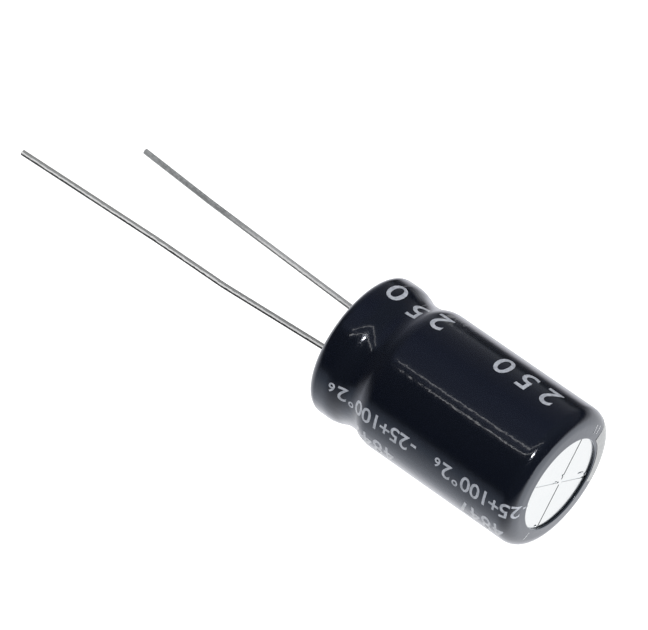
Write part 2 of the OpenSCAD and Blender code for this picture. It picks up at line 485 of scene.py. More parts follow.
def add_sheet(name: str, corners: Sequence[Vector], material: bpy.types.Material) -> bpy.types.Object:
    """Puts a flat sheet with four corners in the scene.

    Args:
        name: The sheet's name.
        corners: Its corners in order round it, in millimetres.
        material: What it is made of.

    Returns:
        The sheet.
    """
    mesh = bpy.data.meshes.new(name)
    mesh.from_pydata([corner * MM for corner in corners], [], [(0, 1, 2, 3)])
    mesh.materials.append(material)
    return add_mesh(name, mesh)


def take_in(shape: bmesh.types.BMesh, mesh: bpy.types.Mesh) -> None:
    """Adds a mesh to a shape and deletes the mesh."""
    shape.from_mesh(mesh)
    bpy.data.meshes.remove(mesh)


def finished(name: str, shape: bmesh.types.BMesh) -> bpy.types.Object:
    """Turns a shape into a piece of that name.

    Args:
        name: The piece's name.
        shape: Its shape in metres, which is freed.

    Returns:
        The piece.
    """
    mesh = bpy.data.meshes.new(name)
    shape.to_mesh(mesh)
    shape.free()
    return add_mesh(name, mesh)


def plain_mesh(holder: bpy.types.Object) -> bpy.types.Mesh:
    """Turns what an object shows into a plain mesh and deletes the object.

    Args:
        holder: An object with live modifiers or text.

    Returns:
        The mesh.
    """
    bpy.context.view_layer.update()
    graph = bpy.context.evaluated_depsgraph_get()
    mesh = bpy.data.meshes.new_from_object(holder.evaluated_get(graph))
    holder.modifiers.clear()
    bpy.data.objects.remove(holder)
    return mesh


def new_tree(
    name: str, sizes: dict[str, str]
) -> tuple[bpy.types.GeometryNodeTree, bpy.types.Node]:
    """Makes a geometry tree that takes a geometry and some sizes.

    Args:
        name: The tree's name.
        sizes: The kind of each named size: Int, Float or Vector.

    Returns:
        The tree and its input node.
    """
    tree = bpy.data.node_groups.new(name, "GeometryNodeTree")
    for label, kind in {"Geometry": "Geometry", **sizes}.items():
        tree.interface.new_socket(label, in_out="INPUT", socket_type="NodeSocket" + kind)
    tree.interface.new_socket("Geometry", in_out="OUTPUT", socket_type="NodeSocketGeometry")
    return tree, add_node(tree, "NodeGroupInput")


def end_tree(
    tree: bpy.types.GeometryNodeTree, geometry: Link, material: bpy.types.Material
) -> None:
    """Ends a geometry tree with a real mesh in its material.

    Args:
        tree: The tree.
        geometry: The node and output socket whose geometry it gives.
        material: What that is made of.
    """
    real = add_node(tree, "GeometryNodeRealizeInstances", links={"Geometry": geometry})
    dressed = add_node(
        tree, "GeometryNodeSetMaterial", inputs={"Material": material},
        links={"Geometry": (real, "Geometry")},
    )
    add_node(tree, "NodeGroupOutput", links={"Geometry": (dressed, "Geometry")})


def grown(
    tree: bpy.types.GeometryNodeTree,
    values: dict[str, Any],
    base: bpy.types.Mesh | None = None,
) -> bpy.types.Mesh:
    """Runs a node tree once and returns its result as a plain mesh.

    Args:
        tree: The geometry tree.
        values: Its sizes by name.
        base: The mesh that the tree starts from, or None for an empty one.

    Returns:
        The evaluated mesh, with the modifier and its holder gone.
    """
    holder = add_mesh("grower", base or bpy.data.meshes.new("grower"))
    modifier = holder.modifiers.new("nodes", "NODES")
    modifier.node_group = tree
    for item in tree.interface.items_tree:
        if item.in_out == "INPUT" and item.name in values:
            modifier[item.identifier] = values[item.name]
    return plain_mesh(holder)


def settle(piece: bpy.types.Object, material: bpy.types.Material, slot: str, *nodes: str) -> None:
    """Gives a finished piece its material and body, and hides the nodes that it stands for.

    Args:
        piece: The finished piece.
        material: What it is made of.
        slot: The record's material slot, which is not used.
        nodes: The solids that the piece replaces.
    """
    piece.data.materials.clear()
    piece.data.materials.append(material)
    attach(piece, BODY)
    if nodes:
        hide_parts(*nodes)
    LOG.info("%s: %d faces", piece.name, len(piece.data.polygons))


def arc(centre: Point, radius: float, start: float, end: float, steps: int) -> list[Point]:
    """Points of a circular arc in a half section.

    Args:
        centre: Radius and height of the arc's centre.
        radius: The arc's radius.
        start: Angle of its first point in degrees.
        end: Angle of its last point in degrees.
        steps: Number of stretches.

    Returns:
        The points from start to end.
    """
    turns = [math.radians(start + (end - start) * i / steps) for i in range(steps + 1)]
    return [(centre[0] + radius * math.cos(a), centre[1] + radius * math.sin(a)) for a in turns]


def straight(start: Point, end: Point, steps: int) -> list[Point]:
    """Points of a straight line in a half section.

    Args:
        start: Radius and height of its first point.
        end: Radius and height of its last point.
        steps: Number of stretches.

    Returns:
        The points from start to end.
    """
    run = (end[0] - start[0], end[1] - start[1])
    return [(start[0] + run[0] * i / steps, start[1] + run[1] * i / steps) for i in range(steps + 1)]


@dataclass
class CanForm:
    """The half section that the case and the sleeve on it share. Lengths are millimetres."""

    radius: float = 6.25
    bottom_z: float = 0.2
    top_z: float = 21.3
    rim_corner_r: float = 0.6
    vent_corner_r: float = 1.15
    groove_z: float = 3.95
    groove_half_w: float = 2.287
    groove_brow_r: float = 2.5
    seat_steps: int = 3
    rim_steps: int = 12
    brow_steps: int = 14
    root_steps: int = 24
    side_steps: int = 24
    shoulder_steps: int = 18
    vent_steps: int = 8

    def section(
        self, out: float, dip: float, start_r: float, end_r: float, droop: float = 0.0
    ) -> list[Point]:
        """The outline of the can, moved outwards.

        Args:
            out: How far the outline lies outside the case.
            dip: Depth of the groove in the case's own surface line.
            start_r: Radius at which the outline starts under the rim.
            end_r: Radius at which it ends on the vent.
            droop: How much lower the shoulder lies than the end on the vent.

        Returns:
            Points from the rim's opening, up the side, to the vent's opening.
        """
        root_r = (self.groove_half_w ** 2 + dip ** 2) / (2 * dip) - self.groove_brow_r
        brow_x = self.radius - self.groove_brow_r
        brow_out = self.groove_brow_r + out
        lean = math.degrees(math.asin(self.groove_half_w / (root_r + self.groove_brow_r)))
        rim = (self.radius - self.rim_corner_r, self.bottom_z + self.rim_corner_r)
        vent = (self.radius - self.vent_corner_r, self.top_z - self.vent_corner_r)
        root = (self.radius - dip + root_r, self.groove_z)
        low_z = self.groove_z - self.groove_half_w
        high_z = self.groove_z + self.groove_half_w
        seat_z, side_r = self.bottom_z - out, self.radius + out
        tilt = math.degrees(math.atan2(droop, vent[0] - end_r))
        shoulder = (vent[0], vent[1] - droop)

        points = straight((start_r, seat_z), (rim[0], seat_z), self.seat_steps)[:-1]
        points += arc(rim, self.rim_corner_r + out, -90, 0, self.rim_steps)
        points += arc((brow_x, low_z), brow_out, 0, lean, self.brow_steps)
        points += arc(root, root_r - out, 180 + lean, 180 - lean, self.root_steps)[1:-1]
        points += arc((brow_x, high_z), brow_out, -lean, 0, self.brow_steps)
        points += straight((side_r, high_z), (side_r, vent[1]), self.side_steps)[1:-1]
        points += arc(shoulder, self.vent_corner_r + out, 0, 90 - tilt, self.shoulder_steps)
        points += straight(points[-1], (end_r, self.top_z + out), self.vent_steps)[1:]
        return points


class SkinLine:
    """The sleeve's outer outline, measured so that a length on its straight side is the height there."""

    def __init__(self, points: Sequence[Point], level_z: float) -> None:
        """Measures the outline.

        Args:
            points: The outline from the rim to the vent, in millimetres.
            level_z: Any height on the straight side.
        """
        self.points = list(points)
        self.lengths = [0.0]
        for a, b in zip(self.points, self.points[1:]):
            self.lengths.append(self.lengths[-1] + math.dist(a, b))
        pairs = zip(self.points, self.points[1:], self.lengths)
        self.shift = next(a[1] - length for a, b, length in pairs if a[1] <= level_z <= b[1])

    def at(self, length: float) -> tuple[Point, Point]:
        """The place and the outward direction at a length.

        Args:
            length: Length along the outline, equal to the height on the straight side.

        Returns:
            The point and the unit normal, both as radius and height.
        """
        wanted = length - self.shift
        last = len(self.points) - 2
        i = next((i for i in range(last) if self.lengths[i + 1] >= wanted), last)
        a, b = self.points[i], self.points[i + 1]
        span = self.lengths[i + 1] - self.lengths[i]
        share = (wanted - self.lengths[i]) / span
        run = ((b[0] - a[0]) / span, (b[1] - a[1]) / span)
        return (a[0] + (b[0] - a[0]) * share, a[1] + (b[1] - a[1]) * share), (run[1], -run[0])


@dataclass
class Sleeve:
    """The shrunk sleeve: a thin closed skin over the whole side, with a lip at each end."""

    film: ShrinkFilm
    form: CanForm
    wall: float = 0.18
    gap: float = 0.02
    dip: float = 0.51
    vent_opening_r: float = 4.35
    seat_opening_r: float = 5.1
    lip_round: float = 0.05
    lip_steps: int = 4
    thinning: float = 0.062
    slip: Point = (0.2, -0.02)
    slip_from_r: float = 5.4
    wave: float = 0.06
    wave_turn: float = 325.0
    around: int = 256

    def face(self, out: float, droop: float = 0.0) -> list[Point]:
        """One face of the film, from the seat's opening to the vent's, so far outside the case."""
        start_r, end_r = self.seat_opening_r + self.lip_round, self.vent_opening_r + self.lip_round
        return self.form.section(out, self.dip, start_r, end_r, droop)

    def outer(self) -> list[Point]:
        """The outer face. The film stretched over the shoulder, so it is thinner there."""
        return self.face(self.gap + self.wall, self.thinning)

    def lip(self, radius: float, z: float, side: int) -> list[Point]:
        """The rounded edge of a lip, from its outer face to its inner face.

        Args:
            radius: Radius of the opening.
            z: Height of the lip's outer face.
            side: 1 where the outer face looks up, -1 where it looks down.

        Returns:
            The points between the two faces.
        """
        r = self.lip_round
        far_z = z - side * (self.wall - r)
        first = arc((radius + r, z - side * r), r, 90 * side, 180 * side, self.lip_steps)[1:]
        second = arc((radius + r, far_z), r, 180 * side, 270 * side, self.lip_steps)[:-1]
        return first + second

    def spot(self, radius: float, z: float, turn: float) -> Vector:
        """Turns a point of the section round the axis, with the opening's slip and wave.

        The film shrank unevenly, so its opening on the vent is a little off centre and out of round.

        Args:
            radius: Radius of the point.
            z: Its height.
            turn: Angle from +X in radians.

        Returns:
            The place in millimetres.
        """
        reach = (self.slip_from_r - radius) / (self.slip_from_r - self.vent_opening_r)
        share = max(0.0, reach) if z > self.form.groove_z else 0.0
        r = radius + share * self.wave * math.cos(2 * (turn - math.radians(self.wave_turn)))
        x, y = (share * part for part in self.slip)
        return Vector((r * math.cos(turn) + x, r * math.sin(turn) + y, z))

    def build(self) -> bpy.types.Object:
        """Revolves the closed section, with a UV map whose first number is 1 on the two lips.

        Returns:
            The piece.
        """
        outer, inner = self.outer(), self.face(self.gap)
        vent_lip = self.lip(self.vent_opening_r, outer[-1][1], 1)
        seat_lip = self.lip(self.seat_opening_r, outer[0][1], -1)[::-1]
        loop = outer + vent_lip + inner[::-1] + seat_lip
        cut = [0.0] * (len(outer) - 1) + [1.0] * (len(vent_lip) + 1)
        cut += [0.0] * (len(inner) - 1) + [1.0] * (len(seat_lip) + 1)
        shape = bmesh.new()
        layer = shape.loops.layers.uv.new("cut")
        rings = []
        for i in range(self.around):
            turn = 2 * math.pi * i / self.around
            rings.append([shape.verts.new(self.spot(r, z, turn) * MM) for r, z in loop])
        for i in range(self.around):
            here, there = rings[i], rings[(i + 1) % self.around]
            for j in range(len(loop)):
                k = (j + 1) % len(loop)
                item = shape.faces.new((here[j], there[j], there[k], here[k]))
                item.smooth = True
                for corner in item.loops:
                    corner[layer].uv = (cut[j], i / self.around)
        bmesh.ops.recalc_face_normals(shape, faces=shape.faces)
        return finished("sleeve_skin", shape)

    def dress(self) -> None:
        """Builds the sleeve in its film and puts it in place of its solid."""
        settle(self.build(), self.film.make(), "sleeve", "sleeve")


@dataclass
class Wrap:
    """Lays flat shapes on the sleeve. X of the flat shape runs towards the leads, Y to larger angles."""

    line: SkinLine
    radius: float
    proud: float = 0.008
    cut_mm: float = 0.3

    def lay(self, mesh: bpy.types.Mesh, angle: float, height: float) -> None:
        """Bends a flat closed mesh round the sleeve, in place.

        Args:
            mesh: A mesh in millimetres, whose Z is the thickness of the ink.
            angle: Angle from +X of the flat shape's zero line, in degrees.
            height: Length along the sleeve's outline of the flat shape's zero, in millimetres.
        """
        shape = bmesh.new()
        shape.from_mesh(mesh)
        bmesh.ops.remove_doubles(shape, verts=shape.verts, dist=MERGE_MM)
        for axis in (0, 1):
            spots = [v.co[axis] for v in shape.verts]
            count = int((max(spots) - min(spots)) / self.cut_mm)
            for i in range(1, count + 1):
                place, normal = Vector((0, 0, 0)), Vector((0, 0, 0))
                place[axis] = min(spots) + i * self.cut_mm
                normal[axis] = 1
                geom = shape.verts[:] + shape.edges[:] + shape.faces[:]
                bmesh.ops.bisect_plane(
                    shape, geom=geom, plane_co=place, plane_no=normal, dist=MERGE_MM / 10
                )
        for vert in shape.verts:
            (r, z), (out_r, out_z) = self.line.at(height - vert.co.x)
            turn = math.radians(angle) + vert.co.y / self.radius
            lift = self.proud + vert.co.z
            r += out_r * lift
            z += out_z * lift
            vert.co = Vector((r * math.cos(turn), r * math.sin(turn), z)) * MM
        bmesh.ops.recalc_face_normals(shape, faces=shape.faces)
        shape.to_mesh(mesh)
        shape.free()


@dataclass
class FigureRow:
    """A row of plain figures that the print roller repeats along the sleeve.

    Small figures have their place in the row and their share of the full height.
    """

    name: str
    text: str
    height: float
    pitch: float
    angle: float
    start: float
    stroke: float
    small: dict[int, float] = field(default_factory=dict)
    squeeze: float = 1.0
    repeats: int = 2
    repeat_mm: float = 11.4
    ink_mm: float = 0.014
    font_share: float = 0.73

    def flat_figure(self, figure: str, height: float) -> bpy.types.Mesh:
        """Makes one figure as a flat closed mesh in millimetres, centred on the origin.

        Args:
            figure: A single character.
            height: Its height, of which the built-in font gives font_share to a size of 1.

        Returns:
            The mesh.
        """
        text = bpy.data.curves.new("figure", "FONT")
        text.body = figure
        text.size = height / self.font_share
        text.align_x = "CENTER"
        text.offset = self.stroke
        text.extrude = self.ink_mm / 2
        text.resolution_u = 4
        mesh = plain_mesh(add_mesh("figure_holder", text))
        bpy.data.curves.remove(text)
        mesh.transform(Matrix.Translation((0, -height / 2, 0)))
        mesh.transform(Matrix.Diagonal((self.squeeze, 1, 1, 1)))
        return mesh

    def build(self, wrap: Wrap) -> bpy.types.Object:
        """Makes the whole row, with its repeats.

        Args:
            wrap: What bends the figures round the sleeve.

        Returns:
            The piece.
        """
        shape = bmesh.new()
        for copy in range(self.repeats):
            for i, figure in enumerate(self.text):
                share = self.small.get(i, 1.0)
                mesh = self.flat_figure(figure, self.height * share)
                drop = self.height * (1 - share) / 2
                mesh.transform(Matrix.Translation((0, -drop, 0)))
                wrap.lay(mesh, self.angle, self.start + self.repeat_mm * copy - self.pitch * i)
                take_in(shape, mesh)
        return finished(self.name, shape)

    def dress(self, wrap: Wrap, ink: bpy.types.Material) -> None:
        """Builds the row on the sleeve in that ink."""
        settle(self.build(wrap), ink, "sleeve")


@dataclass
class BarRow:
    """A row of plain bars along the sleeve, made by a small node tree. Lengths are millimetres."""

    name: str
    across: float
    along: float
    count: int = 1
    pitch: float = 1.0
    ink_mm: float = 0.014

    def tree(self, ink: bpy.types.Material) -> bpy.types.GeometryNodeTree:
        """Builds the tree that sets bars on a line of points.

        Args:
            ink: The material of the bars.

        Returns:
            The tree, whose inputs are the count, the pitch and the size of a bar.
        """
        sizes = {"Count": "Int", "Pitch": "Vector", "Bar size": "Vector"}
        tree, given = new_tree(self.name + "_bars", sizes)
        line = add_node(
            tree, "GeometryNodeMeshLine",
            links={"Count": (given, "Count"), "Offset": (given, "Pitch")},
        )
        bar = add_node(tree, "GeometryNodeMeshCube", links={"Size": (given, "Bar size")})
        placed = add_node(
            tree, "GeometryNodeInstanceOnPoints",
            links={"Points": (line, "Mesh"), "Instance": (bar, "Mesh")},
        )
        end_tree(tree, (placed, "Instances"), ink)
        return tree

    def build(
        self, wrap: Wrap, ink: bpy.types.Material, places: Sequence[Point]
    ) -> bpy.types.Object:
        """Makes the bars and lays them on the sleeve.

        Args:
            wrap: What bends them round the sleeve.
            ink: Their material.
            places: For each repeat, its angle from +X in degrees and the length along the sleeve of
                its first bar.

        Returns:
            The piece.
        """
        values = {
            "Count": self.count,
            "Pitch": (self.pitch, 0, 0),
            "Bar size": (self.along, self.across, self.ink_mm),
        }
        shape = bmesh.new()
        for angle, start in places:
            mesh = grown(self.tree(ink), values)
            wrap.lay(mesh, angle, start)
            take_in(shape, mesh)
        return finished(self.name, shape)

    def dress(self, wrap: Wrap, ink: bpy.types.Material, places: Sequence[Point]) -> None:
        """Builds the bars on the sleeve in that ink."""
        settle(self.build(wrap, ink, places), ink, "sleeve")


@dataclass
class PolarityStripe:
    """The light band on the negative side of the sleeve, with dark minus marks along it."""

    wrap: Wrap
    band_ink: PrintInk
    mark_ink: PrintInk
    angle: float = 177.0
    width: float = 7.2
    first: float = 22.9
    length: float = 22.0
    ink_mm: float = 0.01
    marks: int = 5
    mark_pitch: float = 4.2
    mark_length: float = 1.9
    mark_width: float = 0.45
    first_mark: float = 19.0
    mark_proud: float = 0.01

    def dress(self) -> None:
        """Builds the band and the marks on it, each in its ink."""
        band = BarRow("polarity_band", self.width, self.length, ink_mm=self.ink_mm)
        band.dress(self.wrap, self.band_ink.make(), [(self.angle, self.first - self.length / 2)])
        above = Wrap(self.wrap.line, self.wrap.radius, self.wrap.proud + self.mark_proud)
        marks = BarRow(
            "polarity_marks", self.mark_width, self.mark_length, self.marks, self.mark_pitch,
            self.ink_mm,
        )
        marks.dress(above, self.mark_ink.make(), [(self.angle, self.first_mark)])


@dataclass(frozen=True)
class Burr:
    """One ridge on the vent: its place, its length and width, and the heading of its length."""

    radius: float
    angle: float
    length: float
    width: float
    heading: float


@dataclass
class VentBurrs:
    """Small lumps of metal that the scoring tool threw up on the vent. Lengths are millimetres."""

    metal: Metal
    vent_z: float
    burrs: Sequence[Burr]
    height: float = 0.09
    sink: float = 0.02
    around: int = 20
    rings: int = 5

    def add(self, shape: bmesh.types.BMesh, burr: Burr) -> None:
        """Adds one closed rounded ridge.

        Args:
            shape: The shape that takes it.
            burr: The ridge.
        """
        turn = Matrix.Rotation(math.radians(burr.heading), 4, "Z")
        place = Vector((burr.radius, 0, 0))
        place.rotate(Matrix.Rotation(math.radians(burr.angle), 3, "Z"))
        place.z = self.vent_z - self.sink
        turns = [2 * math.pi * j / self.around for j in range(self.around)]
        rows = []
        for i in range(self.rings):
            lift = math.pi / 2 * i / self.rings
            long = burr.length / 2 * math.cos(lift)
            wide = burr.width / 2 * math.cos(lift)
            z = (self.height + self.sink) * math.sin(lift)
            spots = [Vector((math.cos(a) * long, math.sin(a) * wide, z)) for a in turns]
            rows.append([shape.verts.new((turn @ spot + place) * MM) for spot in spots])
        tip = shape.verts.new((place + Vector((0, 0, self.height + self.sink))) * MM)
        for j in range(self.around):
            k = (j + 1) % self.around
            for low, high in zip(rows, rows[1:]):
                shape.faces.new((low[j], low[k], high[k], high[j])).smooth = True
            shape.faces.new((rows[-1][j], rows[-1][k], tip)).smooth = True
        shape.faces.new(rows[0][::-1])

    def dress(self) -> None:
        """Builds the ridges as one piece in their metal."""
        shape = bmesh.new()
        for burr in self.burrs:
            self.add(shape, burr)
        bmesh.ops.recalc_face_normals(shape, faces=shape.faces)
        settle(finished("vent_burrs", shape), self.metal.make(), "case")


@dataclass
class Wire:
    """A tinned wire that leaves the seal and has taken a few slight bends. Lengths are millimetres.

    Each bend has the straight run before it and its own turn in degrees.
    """

    name: str
    node: str
    side: int
    bends: Sequence[Point]
    below: float
    tin: TinnedWire
    pitch: float = 5.0
    diameter: float = 0.5
    weld_z: float = 1.0
    bend_r: float = 20.0
    step: float = 0.25
    sides: int = 24

    def path(self) -> list[Vector]:
        """The centre line.

        Returns:
            Its points from the weld to the cut end.
        """
        stretches: list[Point] = []
        for run, turn in self.bends:
            stretches += [(run, 0.0), (self.bend_r * abs(math.radians(turn)), math.radians(turn))]
        rest = self.below + self.weld_z - sum(length for length, _ in stretches)
        x, z, lean = self.pitch / 2, self.weld_z, 0.0
        points = [Vector((self.side * x, 0, z))]
        for length, turn in [*stretches, (rest, 0.0)]:
            count = math.ceil(length / self.step)
            for _ in range(count):
                lean += turn / count / 2
                x += math.sin(lean) * length / count
                z -= math.cos(lean) * length / count
                lean += turn / count / 2
                points.append(Vector((self.side * x, 0, z)))
        return points

    def tree(self, material: bpy.types.Material) -> bpy.types.GeometryNodeTree:
        """Builds the tree that sweeps a round section along a line of edges.

        Args:
            material: The tin.

        Returns:
            The tree, whose inputs are the radius and the number of sides.
        """
        tree, given = new_tree(self.name + "_sweep", {"Radius": "Float", "Sides": "Int"})
        line = add_node(tree, "GeometryNodeMeshToCurve", links={"Mesh": (given, "Geometry")})
        ring = add_node(
            tree, "GeometryNodeCurvePrimitiveCircle",
            links={"Radius": (given, "Radius"), "Resolution": (given, "Sides")},
        )
        swept = add_node(
            tree, "GeometryNodeCurveToMesh", inputs={"Fill Caps": True},
            links={"Curve": (line, "Curve"), "Profile Curve": (ring, "Curve")},
        )
        end_tree(tree, (swept, "Mesh"), material)
        return tree

    def build(self, material: bpy.types.Material) -> bpy.types.Object:
        """Sweeps the wire.

        Args:
            material: The tin.

        Returns:
            The piece.
        """
        points = [p * MM for p in self.path()]
        base = bpy.data.meshes.new(self.name + "_line")
        base.from_pydata(points, [(i, i + 1) for i in range(len(points) - 1)], [])
        sizes = {"Radius": self.diameter / 2 * MM, "Sides": self.sides}
        shape = bmesh.new()
        take_in(shape, grown(self.tree(material), sizes, base))
        bmesh.ops.remove_doubles(shape, verts=shape.verts, dist=MERGE_MM * MM)
        bmesh.ops.recalc_face_normals(shape, faces=shape.faces)
        for item in shape.faces:
            item.smooth = len(item.verts) == 4
        self.unwrap(shape, points)
        return finished(self.name, shape)

    def unwrap(self, shape: bmesh.types.BMesh, points: Sequence[Vector]) -> None:
        """Maps the wire: U goes once round it from +X, V is the height in millimetres.

        Args:
            shape: The wire's mesh, to which the map is added.
            points: Its centre line from the weld down.
        """
        layer = shape.loops.layers.uv.new("around")
        for item in shape.faces:
            turns = []
            for loop in item.loops:
                place = loop.vert.co
                centre = min(points, key=lambda p: abs(p.z - place.z))
                turns.append(math.atan2(place.y, place.x - centre.x) / (2 * math.pi) % 1)
            split = max(turns) - min(turns) > 0.5
            for loop, turn in zip(item.loops, turns):
                u = turn + 1 if split and turn < 0.5 else turn
                loop[layer].uv = (u, loop.vert.co.z / MM)

    def dress(self) -> None:
        """Builds the wire in its tin and puts it in place of its solid."""
        material = self.tin.make()
        settle(self.build(material), material, "wire", self.node)


@dataclass
class InnerPieces:
    """The solids that stay as they were built: the case, the seal and the wound element."""

    finishes: dict[str, Metal | Fibrous]

    def dress(self) -> None:
        """Gives each solid its material."""
        for name, finish in self.finishes.items():
            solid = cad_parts[name]
            solid.data.materials.clear()
            solid.data.materials.append(finish.make())
            LOG.info("%s: %s", name, finish.name)


@dataclass(frozen=True)
class Ring:
    """The colours that the gloss sees all round at one rise above level.

    Each stop has its bearing, from -180 to 180, and then a linear grey, or red, green and blue.
    """

    rise: float
    stops: tuple[tuple[float, ...], ...]

    def ramp(self, tree: bpy.types.NodeTree, share: Link) -> bpy.types.Node:
        """Adds the ring's colour ramp.

        Args:
            tree: The world's tree.
            share: The bearing as a share of the full turn.

        Returns:
            The ramp node.
        """
        ramp = add_node(tree, "ShaderNodeValToRGB", links={"Fac": share})
        stops = []
        for bearing, *tones in self.stops:
            red, green, blue = tones if len(tones) == 3 else tones * 3
            stops.append(((bearing + 180) / 360, (red, green, blue, 1.0)))
        set_stops(ramp, stops)
        return ramp


@dataclass(frozen=True)
class Lamp:
    """A soft square lamp, hung so far to the camera's right, up and back. Lengths are millimetres."""

    name: str
    right: float
    up: float
    back: float
    watts: float
    size: float = 320.0


@dataclass(frozen=True)
class Strip:
    """A lit band that only the gloss mirrors. Each end has its bearing and rise in degrees.

    A strength of 1 is white, and the width is in millimetres.
    """

    name: str
    start: Point
    end: Point
    strength: float
    width: float = 3.0


@dataclass
class Studio:
    """The camera, the floor, the surroundings that the gloss mirrors and the lamps."""

    turn_deg: float = 39.0
    tilt_deg: float = 23.571
    roll_deg: float = 34.80
    aim_z: float = 21.39
    reach: tuple[float, float, float] = (18.923, 13.383, 479.17)
    clip_mm: Point = (10.0, 5000.0)
    lens: float = 333.33
    sensor: float = 36.0
    floor_half: float = 400.0
    floor_gap: float = 0.2
    floor_tone: float = 0.8
    floor_glow: float = 0.55
    fill: float = 0.62
    strip_centre_z: float = 3.0
    strip_reach: float = 150.0
    lamps: tuple[Lamp, ...] = (Lamp("key", -120, 420, 380, 2.6), Lamp("fill", 420, -150, 300, 1.2))
    strips: tuple[Strip, ...] = (
        Strip("strip_a", (9.3, -20.7), (33, 27), 2.2),
        Strip("strip_b", (0.3, -19.6), (17.4, 27), 2.9),
        Strip("lens_lamp", (9, 22.5), (9, 28.5), 45.0, 14.0),
        Strip("brow_card", (108, -20.95), (140, -20.75), 0.7),
    )
    rings: tuple[Ring, ...] = (
        Ring(-50, (
            (-180, 1), (-130, 1), (-100, 0.85, 0.87, 0.92), (-72, 0.42, 0.43, 0.46),
            (-54, 0.1, 0.105, 0.11), (-40, 0.03, 0.03, 0.035), (20, 0.05, 0.055, 0.06),
            (60, 0.11, 0.12, 0.14), (90, 0.2, 0.21, 0.25), (130, 0.5, 0.5, 0.54), (150, 1), (180, 1),
        )),
        Ring(-24, (
            (-180, 0.72, 0.72, 0.74), (-168, 0.84, 0.84, 0.86), (-158, 0.96, 0.96, 0.97), (-150, 1),
            (-140, 0.93, 0.94, 0.96), (-130, 0.82, 0.84, 0.87), (-120, 0.72, 0.75, 0.79),
            (-100, 0.55, 0.58, 0.63), (-80, 0.27, 0.31, 0.37), (-70, 0.17, 0.19, 0.23),
            (-62, 0.035, 0.04, 0.04), (-56, 0.012, 0.014, 0.02), (2, 0.03, 0.034, 0.04),
            (8, 0.105, 0.12, 0.16), (40, 0.095, 0.11, 0.16), (60, 0.07, 0.08, 0.12),
            (80, 0.095, 0.1, 0.125), (90, 0.11, 0.115, 0.135), (100, 0.145, 0.15, 0.165),
            (108, 0.185, 0.19, 0.205), (114, 0.19, 0.2, 0.21), (118, 0.07, 0.075, 0.075),
            (122, 0.035), (130, 0.045), (134, 0.06, 0.06, 0.065), (138, 0.19, 0.19, 0.2),
            (142, 0.43, 0.42, 0.43), (146, 0.64, 0.63, 0.65), (150, 0.77, 0.76, 0.79),
            (160, 0.86, 0.86, 0.88), (168, 0.78, 0.78, 0.8), (180, 0.7, 0.7, 0.72),
        )),
        Ring(6, (
            (-180, 0.92), (-136, 0.96), (-118, 0.7, 0.71, 0.73), (-96, 0.4, 0.41, 0.43),
            (-78, 0.15, 0.16, 0.18), (-66, 0.025, 0.027, 0.03), (2, 0.025, 0.03, 0.035),
            (10, 0.065, 0.075, 0.09), (30, 0.08, 0.095, 0.12), (90, 0.085, 0.095, 0.11),
            (100, 0.1, 0.1, 0.11), (110, 0.09, 0.09, 0.1), (115, 0.015, 0.015, 0.017),
            (122, 0.015, 0.015, 0.017), (129, 0.4, 0.4, 0.41), (142, 0.9), (180, 0.92),
        )),
        Ring(75, (
            (-180, 1.4, 1.46, 1.53), (-136, 1.4, 1.46, 1.53), (-118, 0.9, 0.91, 0.93),
            (-96, 0.4, 0.41, 0.43), (-78, 0.15, 0.16, 0.18), (-66, 0.025, 0.027, 0.03),
            (115, 0.03, 0.03, 0.035), (129, 0.6, 0.6, 0.61), (142, 1.4, 1.46, 1.53),
            (180, 1.4, 1.46, 1.53),
        )),
    )

    def level(self) -> tuple[Vector, Vector]:
        """The level directions towards the camera, and a quarter turn on, at a bearing of 90."""
        turn = math.radians(self.turn_deg)
        near = Vector((math.sin(turn), -math.cos(turn), 0))
        return near, Vector((-math.cos(turn), -math.sin(turn), 0))

    def direction(self, bearing: float, rise: float) -> Vector:
        """Turns two angles to a direction.

        Args:
            bearing: Angle from the camera's side in degrees.
            rise: Angle above level in degrees.

        Returns:
            The direction.
        """
        near, across = self.level()
        b, e = math.radians(bearing), math.radians(rise)
        flat = near * math.cos(b) + across * math.sin(b)
        return flat * math.cos(e) + Vector((0, 0, math.sin(e)))

    def axes(self) -> tuple[Vector, Vector, Vector]:
        """Works out how the camera is turned.

        Returns:
            Its right, up and backward directions.
        """
        tilt, roll = math.radians(self.tilt_deg), math.radians(self.roll_deg)
        near, across = self.level()
        top = Vector((0, 0, 1))
        along = math.cos(tilt) * top - math.sin(tilt) * near
        back = math.sin(tilt) * top + math.cos(tilt) * near
        right = math.cos(roll) * along + math.sin(roll) * across
        up = -math.sin(roll) * along + math.cos(roll) * across
        return right, up, back

    def add_camera(self) -> None:
        """Makes the camera at the photograph's viewing angle."""
        right, up, back = self.axes()
        x, y, z = self.reach
        place = Vector((0, 0, self.aim_z)) - x * right + y * up + z * back
        data = bpy.data.cameras.new("camera")
        data.sensor_width = self.sensor
        data.lens = self.lens
        data.clip_start, data.clip_end = (distance * MM for distance in self.clip_mm)
        camera = bpy.data.objects.new("camera", data)
        turned = Matrix((right, up, back)).transposed().to_4x4()
        camera.matrix_world = Matrix.Translation(place * MM) @ turned
        bpy.context.scene.collection.objects.link(camera)
        bpy.context.scene.camera = camera

